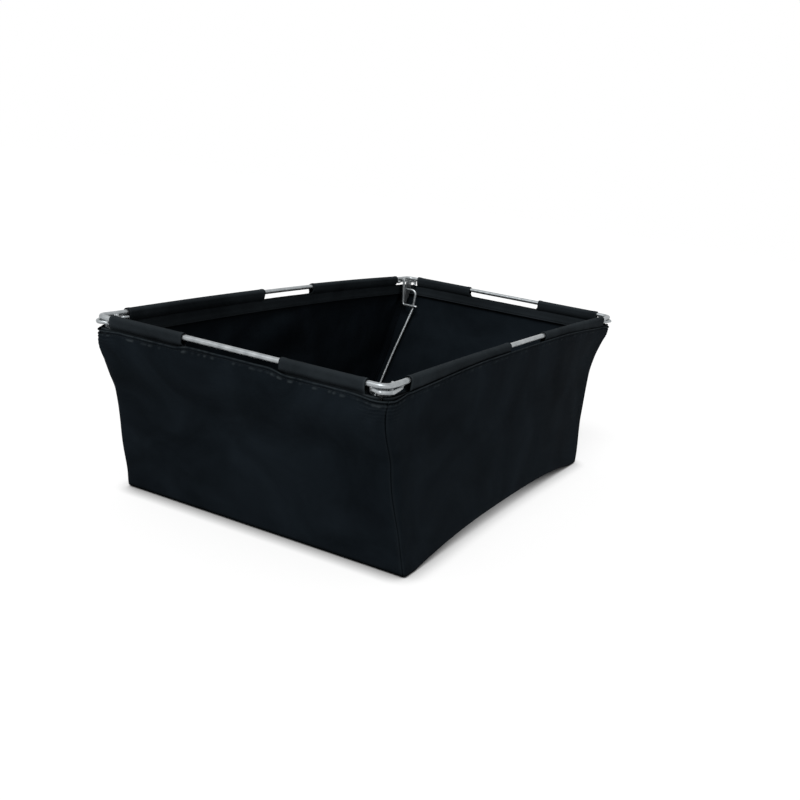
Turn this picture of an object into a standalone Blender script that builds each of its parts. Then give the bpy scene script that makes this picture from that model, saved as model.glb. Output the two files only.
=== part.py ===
"""Foldable collection box for a garden shredder: a sewn fabric bag on a wire frame.

A closed wire ring carries the bag: two sleeves sewn to the top of each wall are looped round
it, with a hand hold between them, and an inner band covers their ends. At each corner the ring
has a corner wire, a latch wire and a pivot plate. Two wire leg frames turn in the pivot plates
and stand the bag up; they fold inwards and up, flat under the ring.

Metres, +Z up. The origin is on the floor, under the middle of the box. X runs across the
short side, Y along the long side.
"""

import math

import bmesh
import bpy
from mathutils import Matrix, Vector

# Wire ring at the rim, measured along the middle of its wire
RING_WIDTH = 0.352
RING_LENGTH = 0.723
RING_HEIGHT = 0.2158
RING_WIRE = 0.006
RING_BEND = 0.018

# Wire of the fittings and of the leg frames
FITTING_WIRE = 0.004
LEG_WIRE = 0.004

# Clearances between neighbours
SEAT_GAP = 0.0003
SLEEVE_CLEARANCE = 0.0004
AXLE_CLEARANCE = 0.0003

# Bag: outer sizes at the floor and at the waist, and where its shape changes below the ring
CLOTH = 0.0012
FLOOR_WIDTH = 0.370
FLOOR_LENGTH = 0.562
WAIST_WIDTH = 0.3586
WAIST_LENGTH = 0.660
WAIST_DROP = 0.0878
SHOULDER_DROP = 0.0158
ARCH_HEIGHT = 0.015
ARCH_MIDDLE_SHARE = 0.35
ARCH_POWER = 2.6
FOOT_STRIP = 0.020

# Walls, sleeves and inner bands: edges and cut-outs, as drops below the middle of the ring wire
GRIP_DROP = 0.0105
GRIP_LENGTH = 0.119
WALL_TOP_STEP = 0.0012
WALL_TOP_DROP = GRIP_DROP + WALL_TOP_STEP
SLEEVE_LAP = 0.010
BAND_DEPTH = 0.015
BAND_DROP = GRIP_DROP + BAND_DEPTH
BAND_SETBACK = 0.0075
LAY_GAP = 0.0006
CORNER_DROP = 0.011
SLEEVE_END_SHORT_SIDE = 0.020
SLEEVE_END_LONG_SIDE = 0.044

# Corner wire, as distances from the corner where the ring's straight sides would meet
CORNER_WIRE_TIP = 0.039
CORNER_WIRE_CROSSING = 0.025
CORNER_WIRE_SLANT = 0.008
CORNER_WIRE_OUTSET = 0.0038
CORNER_WIRE_DROP = 0.0051
CORNER_WIRE_TUCK = 0.0042
CORNER_WIRE_SWEEP = 70.0
CORNER_WIRE_TURN_IN = 0.0145
CORNER_WIRE_END_DROP = 0.0100
CORNER_WIRE_END_INSET = 0.006

# Latch wire and pivot plate
LATCH_FROM_CORNER = 0.0235
LATCH_INSET = 0.009
LATCH_DROP = 0.0418
LATCH_REACH = 0.035
LATCH_BEND = 0.004
LATCH_TOP_RISE = 0.001
PLATE_THICKNESS = 0.0015
PLATE_END_INSET = 0.0035
PLATE_FOOT_WIDTH = 0.0075
PLATE_CORNER = 0.0012

# Leg frame
PIVOT_FROM_END = 0.0155
PIVOT_DROP = 0.0168
AXLE_PAST_PLATE = 0.003
LEG_FROM_SIDE = 0.026
LEG_LATCH_GAP = 0.0005
LEG_HOOK_BEND = 0.005
LEG_FOOT_BEND = 0.012
LEG_BAR_FROM_SIDE = 0.0125
LEG_BAR_FROM_END = 0.006

# Cutters run this far past the cloth that they cut
CUTTER_REACH = 0.024

# Fineness of the shapes
WELD_DISTANCE = 0.00001
WIRE_FINENESS = 2
RING_FINENESS = 4
BEND_STEPS = 5
WALL_STEPS = 7
LOOP_STEPS = 7
LONG_STEPS = 12
SHORT_STEPS = 4
SLEEVE_STEPS = 2
HOLE_SIDES = 16

ZINC = (0.55, 0.57, 0.58, 1.0)
FABRIC = (0.010, 0.012, 0.014, 1.0)
SIDES = {
    "front": (Vector((0.0, -1.0, 0.0)), Vector((1.0, 0.0, 0.0))),
    "right": (Vector((1.0, 0.0, 0.0)), Vector((0.0, 1.0, 0.0))),
    "rear": (Vector((0.0, 1.0, 0.0)), Vector((-1.0, 0.0, 0.0))),
    "left": (Vector((-1.0, 0.0, 0.0)), Vector((0.0, -1.0, 0.0))),
}
SLEEVE_PLACES = {
    "front": ("left", "right"),
    "right": ("front", "rear"),
    "rear": ("right", "left"),
    "left": ("rear", "front"),
}
CORNERS = {
    "front_left": (-1, -1),
    "front_right": (1, -1),
    "rear_left": (-1, 1),
    "rear_right": (1, 1),
}


def clear_scene():
    """Start from a scene with nothing in it."""
    for item in list(bpy.data.objects):
        bpy.data.objects.remove(item, do_unlink=True)


def new_collection(name):
    """A collection of this name in the scene."""
    group = bpy.data.collections.new(name)
    bpy.context.scene.collection.children.link(group)
    return group


def material(name, colour, roughness, metallic):
    """A plain surface of one colour."""
    surface = bpy.data.materials.new(name)
    surface.use_nodes = True
    shader = surface.node_tree.nodes["Principled BSDF"]
    shader.inputs["Base Color"].default_value = colour
    shader.inputs["Roughness"].default_value = roughness
    shader.inputs["Metallic"].default_value = metallic
    surface.diffuse_color = colour
    return surface


def smoothstep(share):
    """0 to 1 with level ends."""
    share = min(max(share, 0.0), 1.0)
    return share * share * (3.0 - 2.0 * share)


def filleted(points, bends, cyclic=False):
    """The path through the points, with each inner corner rounded to its bend radius."""
    path = []
    count = len(points)
    for index, point in enumerate(points):
        radius = bends[index]
        if radius == 0.0 or (not cyclic and index in (0, count - 1)):
            path.append(point.copy())
            continue
        into = (point - points[index - 1]).normalized()
        out = (points[(index + 1) % count] - point).normalized()
        turn = into.angle(out)
        reach = radius * math.tan(turn / 2.0)
        start = point - into * reach
        centre = start + (out - into * into.dot(out)).normalized() * radius
        spoke = start - centre
        for step in range(BEND_STEPS + 1):
            angle = turn * step / BEND_STEPS
            path.append(centre + spoke * math.cos(angle) + into * radius * math.sin(angle))
    return path


def wire(name, path, thickness, surface, group):
    """A round wire along the path, with its origin at the world's."""
    curve = bpy.data.curves.new(name, "CURVE")
    curve.dimensions = "3D"
    curve.bevel_depth = thickness / 2.0
    curve.bevel_resolution = WIRE_FINENESS
    curve.use_fill_caps = True
    spline = curve.splines.new("POLY")
    spline.points.add(len(path) - 1)
    for point, place in zip(spline.points, path):
        point.co = (*place, 1.0)
    curve.materials.append(surface)
    item = bpy.data.objects.new(name, curve)
    group.objects.link(item)
    return item


def outline_mesh(name, outlines, thickness):
    """A flat plate in the local XY plane; outlines after the first are its holes."""
    curve = bpy.data.curves.new(name, "CURVE")
    curve.dimensions = "2D"
    curve.fill_mode = "BOTH"
    curve.extrude = thickness / 2.0
    for outline in outlines:
        spline = curve.splines.new("POLY")
        spline.points.add(len(outline) - 1)
        for point, place in zip(spline.points, outline):
            point.co = (place[0], place[1], 0.0, 1.0)
        spline.use_cyclic_u = True
    source = bpy.data.objects.new(name, curve)
    bpy.context.scene.collection.objects.link(source)
    evaluated = source.evaluated_get(bpy.context.evaluated_depsgraph_get())
    mesh = bpy.data.meshes.new_from_object(evaluated)
    mesh.name = name
    bpy.data.objects.remove(source, do_unlink=True)
    bpy.data.curves.remove(curve)
    form = bmesh.new()
    form.from_mesh(mesh)
    bmesh.ops.remove_doubles(form, verts=form.verts, dist=WELD_DISTANCE)
    bmesh.ops.recalc_face_normals(form, faces=form.faces)
    form.to_mesh(mesh)
    form.free()
    return mesh


def grid_sheet(name, columns, rows, place, surface, group):
    """A sheet of cloth: a grid whose points lie where place(column, row) says, made thick inwards."""
    form = bmesh.new()
    bmesh.ops.create_grid(form, x_segments=columns, y_segments=rows, size=0.5)
    for vert in form.verts:
        column = round((vert.co.x + 0.5) * columns)
        row = round((vert.co.y + 0.5) * rows)
        vert.co = place(column, row)
    mesh = bpy.data.meshes.new(name)
    form.to_mesh(mesh)
    form.free()
    mesh.materials.append(surface)
    mesh.shade_smooth()
    item = bpy.data.objects.new(name, mesh)
    group.objects.link(item)
    thicken = item.modifiers.new("cloth thickness", "SOLIDIFY")
    thicken.thickness = CLOTH
    thicken.offset = -1.0
    thicken.use_even_offset = True
    return item


def cut(item, cutter):
    """Take the cutter's shape out of the item."""
    hole = item.modifiers.new("cut", "BOOLEAN")
    hole.operation = "DIFFERENCE"
    hole.solver = "EXACT"
    hole.object = cutter


def hide_as_cutter(item, group):
    """Keep a cutter out of the finished model."""
    item.hide_render = True
    item.display_type = "WIRE"
    group.objects.link(item)


def rim_half(along_x):
    """Half of the bag's outer size at the rim, across X or along Y."""
    ring = RING_WIDTH if along_x else RING_LENGTH
    return ring / 2.0 + RING_WIRE / 2.0 + SLEEVE_CLEARANCE + CLOTH


def bag_half(along_x, height):
    """Half of the bag's outer size at this height, across X or along Y."""
    floor = (FLOOR_WIDTH if along_x else FLOOR_LENGTH) / 2.0
    waist = (WAIST_WIDTH if along_x else WAIST_LENGTH) / 2.0
    waist_height = RING_HEIGHT - WAIST_DROP
    leaning = floor + (waist - floor) * height / waist_height
    share = smoothstep((height - waist_height) / (WAIST_DROP - SHOULDER_DROP))
    return leaning + (rim_half(along_x) - leaning) * share


def arch(along):
    """Height of the long lower edge above the floor; its two ends lie flat on the floor."""
    span = FLOOR_LENGTH / 2.0 - FOOT_STRIP
    return ARCH_HEIGHT * max(0.0, 1.0 - abs(along / span) ** ARCH_POWER)


def long_share(column):
    """Place of a grid column along the long side, -1 to 1; one column lies at each edge of the flat ends."""
    if column in (0, LONG_STEPS):
        return 2.0 * column / LONG_STEPS - 1.0
    strip = 1.0 - 2.0 * FOOT_STRIP / FLOOR_LENGTH
    return strip * (2.0 * (column - 1) / (LONG_STEPS - 2) - 1.0)


def side_shares(short_side):
    """Places of the sections along a side, -1 to 1."""
    if short_side:
        return [2.0 * column / SHORT_STEPS - 1.0 for column in range(SHORT_STEPS + 1)]
    return [long_share(column) for column in range(LONG_STEPS + 1)]


def wall_section(short_side, along_share):
    """One section of a wall's outer face, from its lower edge to its top edge.

    Each entry is (distance from the middle of the box, height, distance along the side).
    """
    lower = 0.0 if short_side else arch(along_share * FLOOR_LENGTH / 2.0)
    upper = RING_HEIGHT - BAND_DROP
    heights = [lower + (upper - lower) * step / WALL_STEPS for step in range(WALL_STEPS + 1)]
    heights += [RING_HEIGHT - WALL_TOP_DROP - SLEEVE_LAP, RING_HEIGHT - WALL_TOP_DROP]
    butt = CLOTH + SEAT_GAP if short_side else 0.0
    section = []
    for height in heights:
        half_span = bag_half(short_side, height) - butt
        section.append((bag_half(not short_side, height), height, along_share * half_span))
    return section


def band_section(short_side, along_share):
    """One section of an inner band's outer face, from its lower edge to its top edge.

    The entries are as in a wall's section.
    """
    depth = 3.0 * (CLOTH + LAY_GAP)
    section = []
    for drop in (BAND_DROP, WALL_TOP_DROP + SLEEVE_LAP, WALL_TOP_DROP, GRIP_DROP):
        height = RING_HEIGHT - drop
        half_span = bag_half(short_side, height) - BAND_SETBACK
        section.append((bag_half(not short_side, height) - depth, height, along_share * half_span))
    return section


def sleeve_section(short_side, end, share):
    """One section of a sleeve's outer face: up inside the wall, over the ring and down again.

    The share runs from 0 at the hand hold to 1 at the corner; the entries are as in a wall's section.
    """
    outer = CLOTH + LAY_GAP
    inner = 2.0 * outer + CLOTH
    rod = (RING_LENGTH if short_side else RING_WIDTH) / 2.0
    loop = RING_WIRE / 2.0 + SLEEVE_CLEARANCE + CLOTH
    lap_drop = WALL_TOP_DROP + SLEEVE_LAP

    def aside(half_span):
        grip = GRIP_LENGTH / 2.0
        return end * (grip + (half_span - BAND_SETBACK - grip) * share)

    def beside_wall(drop, depth):
        height = RING_HEIGHT - drop
        return bag_half(not short_side, height) - depth, height, aside(bag_half(short_side, height))

    section = [beside_wall(drop, outer) for drop in (lap_drop, WALL_TOP_DROP)]
    for step in range(LOOP_STEPS + 1):
        angle = math.pi * step / LOOP_STEPS
        height = RING_HEIGHT + loop * math.sin(angle)
        section.append((rod + loop * math.cos(angle), height, aside(rim_half(short_side))))
    section += [beside_wall(drop, inner) for drop in (GRIP_DROP, WALL_TOP_DROP, lap_drop)]
    return section


def is_short(side):
    """True for the two short sides."""
    return side in ("front", "rear")


def rim_of(side):
    """Distance of this side's rod from the middle, half of the rod's length, and where its sleeves end."""
    if is_short(side):
        return RING_LENGTH / 2.0, RING_WIDTH / 2.0, SLEEVE_END_SHORT_SIDE
    return RING_WIDTH / 2.0, RING_LENGTH / 2.0, SLEEVE_END_LONG_SIDE


def upright_frame(outward, along, origin):
    """Local X along the side, local Y up, local Z outwards."""
    return Matrix((
        (along.x, 0.0, outward.x, origin.x),
        (along.y, 0.0, outward.y, origin.y),
        (along.z, 1.0, outward.z, origin.z),
        (0.0, 0.0, 0.0, 1.0),
    ))


def corner_cutter(name, side, end, group):
    """Takes a sleeve away at one end of a side, where the ring's bend and the fittings are."""
    outward, along = SIDES[side]
    rod, half_length, sleeve_end = rim_of(side)
    length = sleeve_end + CUTTER_REACH
    height = CORNER_DROP + CUTTER_REACH
    form = bmesh.new()
    bmesh.ops.create_cube(form, size=1.0)
    bmesh.ops.scale(form, vec=(length, height, 2.0 * CUTTER_REACH), verts=form.verts)
    mesh = bpy.data.meshes.new(name)
    form.to_mesh(mesh)
    form.free()
    cutter = bpy.data.objects.new(name, mesh)
    middle = outward * rod + along * end * (half_length - sleeve_end + length / 2.0)
    middle.z = RING_HEIGHT - CORNER_DROP + height / 2.0
    cutter.matrix_world = upright_frame(outward, along, middle)
    hide_as_cutter(cutter, group)
    return cutter


def side_sheet(name, side, sections, surface, group):
    """A sheet of cloth through sections along one side of the bag."""
    outward, along = SIDES[side]

    def place(column, row):
        distance, height, aside = sections[column][row]
        return outward * distance + along * aside + Vector((0.0, 0.0, height))

    return grid_sheet(name, len(sections) - 1, len(sections[0]) - 1, place, surface, group)


def wall_panel(side, surface, group):
    """One wall of the bag, from the floor to the edge below the ring."""
    short_side = is_short(side)
    sections = [wall_section(short_side, share) for share in side_shares(short_side)]
    return side_sheet(f"{side}_panel", side, sections, surface, group)


def inner_band(side, surface, group):
    """The strip sewn inside the top of a wall, over the ends of its sleeves."""
    short_side = is_short(side)
    sections = [band_section(short_side, share) for share in side_shares(short_side)]
    return side_sheet(f"{side}_band", side, sections, surface, group)


def sleeve(side, end, surface, group, cutters):
    """Cloth folded over the ring between the hand hold and a corner; its two ends are sewn to the wall."""
    name = f"{side}_sleeve_{SLEEVE_PLACES[side][0 if end < 0.0 else 1]}"
    shares = [step / SLEEVE_STEPS for step in range(SLEEVE_STEPS + 1)]
    if end < 0.0:
        shares.reverse()
    sections = [sleeve_section(is_short(side), end, share) for share in shares]
    item = side_sheet(name, side, sections, surface, group)
    cut(item, corner_cutter(f"{name}_corner", side, end, cutters))
    return item


def base_panel(surface, group):
    """The bag's floor: flat at both ends, arched in between, higher at the long edges."""
    inset = CLOTH + SEAT_GAP

    def place(column, row):
        share_y = long_share(column)
        share_x = 2.0 * row / SHORT_STEPS - 1.0
        along = share_y * (FLOOR_LENGTH / 2.0 - inset)
        rise = arch(share_y * FLOOR_LENGTH / 2.0)
        rise *= ARCH_MIDDLE_SHARE + (1.0 - ARCH_MIDDLE_SHARE) * share_x ** 2
        return Vector((share_x * (bag_half(True, rise) - inset), along, rise))

    return grid_sheet("base_panel", LONG_STEPS, SHORT_STEPS, place, surface, group)


def ring_frame(surface, group):
    """The closed wire ring at the rim."""
    half_x = RING_WIDTH / 2.0
    half_y = RING_LENGTH / 2.0
    turns = ((-1, -1), (1, -1), (1, 1), (-1, 1))
    corners = [Vector((sx * half_x, sy * half_y, RING_HEIGHT)) for sx, sy in turns]
    path = filleted(corners, [RING_BEND] * 4, cyclic=True)
    ring = wire("ring_frame", path, RING_WIRE, surface, group)
    ring.data.splines[0].use_cyclic_u = True
    ring.data.bevel_resolution = RING_FINENESS
    return ring


def ring_corner(sign_x, sign_y):
    """Turns distances in from a corner and drops below the ring into places."""
    def place(from_side, from_end, drop):
        return Vector((
            sign_x * (RING_WIDTH / 2.0 - from_side),
            sign_y * (RING_LENGTH / 2.0 - from_end),
            RING_HEIGHT - drop,
        ))
    return place


def corner_wire(label, surface, group):
    """Bent wire welded under the ring: inside along the long side, round the corner outside, tucked in."""
    place = ring_corner(*CORNERS[label])
    under = RING_WIRE / 2.0 + FITTING_WIRE / 2.0 + SEAT_GAP
    path = [
        place(CORNER_WIRE_TUCK, CORNER_WIRE_TIP, CORNER_WIRE_TUCK),
        place(CORNER_WIRE_TUCK, CORNER_WIRE_CROSSING + CORNER_WIRE_SLANT, CORNER_WIRE_TUCK),
        place(0.0, CORNER_WIRE_CROSSING, under),
    ]
    radius = RING_BEND + CORNER_WIRE_OUTSET
    steps = 2 * BEND_STEPS
    sweep = math.radians(CORNER_WIRE_SWEEP)
    for step in range(steps + 1):
        angle = sweep * step / steps
        from_side = RING_BEND - radius * math.cos(angle)
        from_end = RING_BEND - radius * math.sin(angle)
        path.append(place(from_side, from_end, CORNER_WIRE_DROP))
    path.append(place(CORNER_WIRE_TURN_IN, 0.0, under))
    path.append(place(CORNER_WIRE_TURN_IN + FITTING_WIRE / 2.0, CORNER_WIRE_END_INSET, CORNER_WIRE_END_DROP))
    return wire(f"corner_wire_{label}", path, FITTING_WIRE, surface, group)


def latch_wire(label, surface, group):
    """Bent wire welded inside the ring: down beside the long side, then in, as the catch of the leg."""
    place = ring_corner(*CORNERS[label])
    beside = RING_WIRE / 2.0 + FITTING_WIRE / 2.0 + SEAT_GAP
    points = [
        place(beside, LATCH_FROM_CORNER, -LATCH_TOP_RISE),
        place(LATCH_INSET, LATCH_FROM_CORNER, LATCH_DROP),
        place(LATCH_REACH, LATCH_FROM_CORNER, LATCH_DROP),
    ]
    path = filleted(points, [0.0, LATCH_BEND, 0.0])
    return wire(f"latch_wire_{label}", path, FITTING_WIRE, surface, group)


def pivot_plate(label, surface, group):
    """Sheet-steel cheek in the corner, with the hole that the leg's axle turns in."""
    sign_x, sign_y = CORNERS[label]
    front = LATCH_FROM_CORNER - FITTING_WIRE / 2.0 - SEAT_GAP
    lower = LATCH_DROP - FITTING_WIRE / 2.0 - SEAT_GAP
    upper = RING_WIRE / 2.0 + 2.0 * SEAT_GAP
    corners = [
        Vector((-front, -lower, 0.0)),
        Vector((-front + PLATE_FOOT_WIDTH, -lower, 0.0)),
        Vector((-PLATE_END_INSET, -PIVOT_DROP, 0.0)),
        Vector((-PLATE_END_INSET, -upper, 0.0)),
        Vector((-front, -upper, 0.0)),
    ]
    outline = filleted(corners, [PLATE_CORNER] * 5, cyclic=True)
    bore = LEG_WIRE / 2.0 + AXLE_CLEARANCE
    hole = []
    for step in range(HOLE_SIDES):
        angle = 2.0 * math.pi * step / HOLE_SIDES
        hole.append((-PIVOT_FROM_END + bore * math.cos(angle), -PIVOT_DROP + bore * math.sin(angle)))
    mesh = outline_mesh(f"pivot_plate_{label}", [outline, hole], PLATE_THICKNESS)
    mesh.materials.append(surface)
    plate = bpy.data.objects.new(f"pivot_plate_{label}", mesh)
    corner = Vector((sign_x * (RING_WIDTH / 2.0 - LATCH_INSET), sign_y * RING_LENGTH / 2.0, RING_HEIGHT))
    plate.matrix_world = upright_frame(Vector((sign_y, 0.0, 0.0)), Vector((0.0, sign_y, 0.0)), corner)
    group.objects.link(plate)
    return plate


def leg_frame(label, sign_y, surface, group):
    """U-shaped wire: axle, leg, floor bar, leg and axle, turning about X in the pivot plates."""
    pivot = Vector((0.0, sign_y * (RING_LENGTH / 2.0 - PIVOT_FROM_END), RING_HEIGHT - PIVOT_DROP))
    axle_end = RING_WIDTH / 2.0 - LATCH_INSET + PLATE_THICKNESS / 2.0 + AXLE_PAST_PLATE
    leg_x = RING_WIDTH / 2.0 - LEG_FROM_SIDE
    latch_y = RING_LENGTH / 2.0 - LATCH_FROM_CORNER
    knee_y = sign_y * (latch_y + FITTING_WIRE / 2.0 + LEG_WIRE / 2.0 + LEG_LATCH_GAP)
    knee_z = RING_HEIGHT - LATCH_DROP - FITTING_WIRE
    bar_x = FLOOR_WIDTH / 2.0 - LEG_BAR_FROM_SIDE
    bar_y = sign_y * (FLOOR_LENGTH / 2.0 - LEG_BAR_FROM_END)
    bar_z = CLOTH + SEAT_GAP + LEG_WIRE / 2.0
    half = [
        Vector((axle_end, pivot.y, pivot.z)),
        Vector((leg_x, pivot.y, pivot.z)),
        Vector((leg_x, knee_y, knee_z)),
        Vector((bar_x, bar_y, bar_z)),
    ]
    other = [Vector((-point.x, point.y, point.z)) for point in reversed(half)]
    bends = [0.0, LEG_HOOK_BEND, LEG_FOOT_BEND, LEG_FOOT_BEND]
    path = [place - pivot for place in filleted(half + other, bends + bends[::-1])]
    leg = wire(f"leg_frame_{label}", path, LEG_WIRE, surface, group)
    leg.location = pivot
    return leg


def build():
    """Model the whole box."""
    clear_scene()
    group = new_collection("collection_box")
    cutters = new_collection("cutters")
    zinc = material("zinc_plated_wire", ZINC, roughness=0.38, metallic=0.9)
    sheet_steel = material("zinc_plated_sheet", ZINC, roughness=0.45, metallic=0.9)
    fabric = material("woven_fabric", FABRIC, roughness=0.85, metallic=0.0)
    ring_frame(zinc, group)
    for label in CORNERS:
        corner_wire(label, zinc, group)
        latch_wire(label, zinc, group)
        pivot_plate(label, sheet_steel, group)
    for side in SIDES:
        wall_panel(side, fabric, group)
        inner_band(side, fabric, group)
        sleeve(side, -1.0, fabric, group, cutters)
        sleeve(side, 1.0, fabric, group, cutters)
    base_panel(fabric, group)
    leg_frame("front", -1.0, zinc, group)
    leg_frame("rear", 1.0, zinc, group)


build()
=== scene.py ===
import math

import bpy
import numpy as np
from mathutils import Matrix, Vector, noise


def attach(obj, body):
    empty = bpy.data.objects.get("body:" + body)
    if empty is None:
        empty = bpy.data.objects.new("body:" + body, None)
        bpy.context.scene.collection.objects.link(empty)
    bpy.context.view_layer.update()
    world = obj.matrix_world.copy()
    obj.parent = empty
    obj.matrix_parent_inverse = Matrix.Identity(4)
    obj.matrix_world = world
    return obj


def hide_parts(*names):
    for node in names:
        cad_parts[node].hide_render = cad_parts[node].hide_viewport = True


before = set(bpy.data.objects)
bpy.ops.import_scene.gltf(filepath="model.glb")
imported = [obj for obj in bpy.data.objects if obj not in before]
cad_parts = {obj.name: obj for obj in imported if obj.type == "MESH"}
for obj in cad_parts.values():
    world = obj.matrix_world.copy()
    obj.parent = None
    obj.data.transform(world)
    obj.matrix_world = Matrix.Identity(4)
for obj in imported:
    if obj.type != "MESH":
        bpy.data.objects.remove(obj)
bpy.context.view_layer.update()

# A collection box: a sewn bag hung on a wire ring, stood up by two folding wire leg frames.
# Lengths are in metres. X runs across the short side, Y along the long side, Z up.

# Ring, measured along the middle of its wire
RING_WIDTH = 0.352
RING_LENGTH = 0.723
RING_HEIGHT = 0.2158
RING_WIRE = 0.006
RING_BEND = 0.0098
FITTING_WIRE = 0.004
LEG_WIRE = 0.004

# Outer shape of the bag
FLOOR_WIDTH = 0.370
FLOOR_LENGTH = 0.562
WAIST_WIDTH = 0.3586
WAIST_LENGTH = 0.660
WAIST_DROP = 0.0878
SHOULDER_DROP = 0.0158
RIM_WIDTH = 0.3612
RIM_LENGTH = 0.7322
ARCH_HEIGHT = 0.015
ARCH_MIDDLE_SHARE = 0.35
ARCH_POWER = 2.6
FOOT_STRIP = 0.020
REAR_RIGHT_PULL = 0.007
CORNER_RADIUS = 0.0045
RIM_CORNER_RADIUS = 0.020
CORNER_WIDENS_FROM = 0.045
CORNER_WIDENS_OVER = 0.105
BOTTOM_RADIUS = 0.0030
SEAM_TURN = 24.0
SEAM_TURN_MORE = 33.0
SEAM_ALLOWANCE = 0.0022

# Cloth, its edges as drops below the middle of the ring wire, and its stitches
CLOTH = 0.0007
WALL_TOP_DROP = 0.0105
SEAM_DROP = 0.0116
BAND_LAP_DROP = 0.0210
BAND_DROP = 0.0255
BAND_TURN = 34.0
SLEEVE_RADIUS = 0.0044
CORNER_DROP = 0.0105
GRIP_DROP = 0.0105
GRIP_LENGTH = 0.119
GRIP_ROUND = 0.006
STITCH_PITCH = 0.0036
STITCH_LENGTH = 0.0027
STITCH_THREAD = 0.00026
STITCH_DROP = 0.0038
STITCH_SIDES = 6
STITCH_LIFT = 0.25
SLEEVE_END_SHORT_SIDE = 0.020
SLEEVE_END_LONG_SIDE = 0.044
SLEEVE_ROOM = 0.0016
# How far the sleeve's outer side tucks in under the rod, 0 to 1
SLEEVE_TUCK = {"front": 1.0, "right": 0.0, "rear": 0.6, "left": 1.0}

# Unevenness of the walls: broad folds, and a share for how gathered the cloth is at its top
FOLDS = {"front": 0.0010, "right": 0.0013, "rear": 0.0016, "left": 0.0068}
GATHERED = {"front": 1.0, "right": 0.30, "rear": 0.7, "left": 0.7}
FOLD_SLANT = 0.9
FOLD_SQUEEZE = 1.6
SEAM_PUCKERS = 0.00075
LONG_PUCKERS = 0.00090
FLOOR_PUCKERS = 0.00030
PLEATS = 0.00080
RIDGE = 0.00080
BUNCHES = 0.00070
WELT = 0.00035
RIDGE_DROP = 0.0009
GROOVE_DROP = 0.0032
SECOND_RIDGE_DROP = 0.0056
EDGE_WANDER = 0.0009
RELIEF_LIMIT = 0.0020
SEAM_DIP = 0.0004
WALL_SEEDS = {"front": 1.0, "right": 2.0, "rear": 3.0, "left": 4.0}
BAND_SEEDS = {"front": 41.0, "right": 42.0, "rear": 43.0, "left": 44.0}

# The long rods bow up a little in the middle, the right and front walls are drawn up under their
# rods, and all the walls sag at the corners
ROD_LIFT = {"left": 0.0045, "right": 0.0034}
ROD_LIFT_HALF = 0.335
RIGHT_WALL_LIFT = 0.0056
RIGHT_WALL_OUT = 0.0010
FRONT_WALL_LIFT = 0.0036
CORNER_SAG = 0.0028

# Corner wire, latch wire, pivot plate and leg frame
CORNER_WIRE_TIP = 0.0425
CORNER_WIRE_CROSSING = 0.0315
CORNER_WIRE_SLANT = 0.006
CORNER_WIRE_OUTSET = 0.0038
CORNER_WIRE_DROP = 0.0051
CORNER_WIRE_TUCK = 0.0042
CORNER_WIRE_SWEEP = 70.0
CORNER_WIRE_TURN_IN = 0.0145
CORNER_WIRE_END_DROP = 0.0100
CORNER_WIRE_END_INSET = 0.006
LATCH_FROM_CORNER = 0.0235
LATCH_INSET = 0.009
LATCH_DROP = 0.0418
LATCH_REACH = 0.035
LATCH_BEND = 0.004
PLATE_THICKNESS = 0.0015
PIVOT_FROM_END = 0.0155
PIVOT_DROP = 0.0168
AXLE_PAST_PLATE = 0.003
LEG_FROM_SIDE = 0.026
LEG_LATCH_GAP = 0.0005
LEG_HOOK_BEND = 0.007
LEG_FOOT_BEND = 0.012
LEG_BAR_FROM_SIDE = 0.0125
LEG_BAR_FROM_END = 0.006
LEG_BAR_HEIGHT = 0.0035
LEG_BOW = 0.0012
LEG_BOW_ABOVE_BAR = 0.012
LEG_BOW_MARGINS = 0.017

# Fineness of the meshes
COLUMN_PITCH = 0.0028
CORNER_COLUMNS = 10
BEND_STEPS = 14
WIRE_SIDES = 24
WIRE_CHAMFER = 0.22
BAND_CORNER_COLUMNS = 6
BASE_COLUMNS = 120
BASE_ROWS = 76

# Each side's outward and forward directions
SIDES = {
    "front": (np.array((0.0, -1.0, 0.0)), np.array((1.0, 0.0, 0.0))),
    "right": (np.array((1.0, 0.0, 0.0)), np.array((0.0, 1.0, 0.0))),
    "rear": (np.array((0.0, 1.0, 0.0)), np.array((-1.0, 0.0, 0.0))),
    "left": (np.array((-1.0, 0.0, 0.0)), np.array((0.0, -1.0, 0.0))),
}
SHORT_SIDES = ("front", "rear")
SLEEVE_PLACES = {
    "front": ("left", "right"),
    "right": ("front", "rear"),
    "rear": ("right", "left"),
    "left": ("rear", "front"),
}
CORNERS = {
    "front_left": (-1, -1),
    "front_right": (1, -1),
    "rear_left": (-1, 1),
    "rear_right": (1, 1),
}

# Camera at the photograph's place, in metres, with its turn in degrees
CAMERA_PLACE = Vector((0.5868, -1.1715, 0.4344))
CAMERA_YAW = 26.0
CAMERA_PITCH = 14.12
CAMERA_ROLL = 7.43
CAMERA_LENS = 45.82

# Light and floor
SURROUND_LIGHT = 0.62
LAMP_SIZE = 1.2
LAMPS = {"key": ((-0.9, -1.9, 1.5), 5.0), "side": ((2.0, -0.5, 1.3), 2.0)}
LAMP_TARGET = (0.0, 0.0, 0.1)
SUN_STRENGTH = 2.4
SUN_SPREAD = 30.0
SUN_WAY = (-0.10, 0.62, -0.78)
FLOOR_HALF = 6.0
FLOOR_COLOUR = (0.95, 0.95, 0.95, 1.0)
FLOOR_GLOW = 0.74
CONTACT_SHADOW = 0.025

# Cloth
WEAVE_PITCH = 0.00055
# Reach of the painted shade in the cloth's creases
CREASE_SHADE_REACH = 0.007
CLOTH_SPECULAR = 0.004


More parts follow.
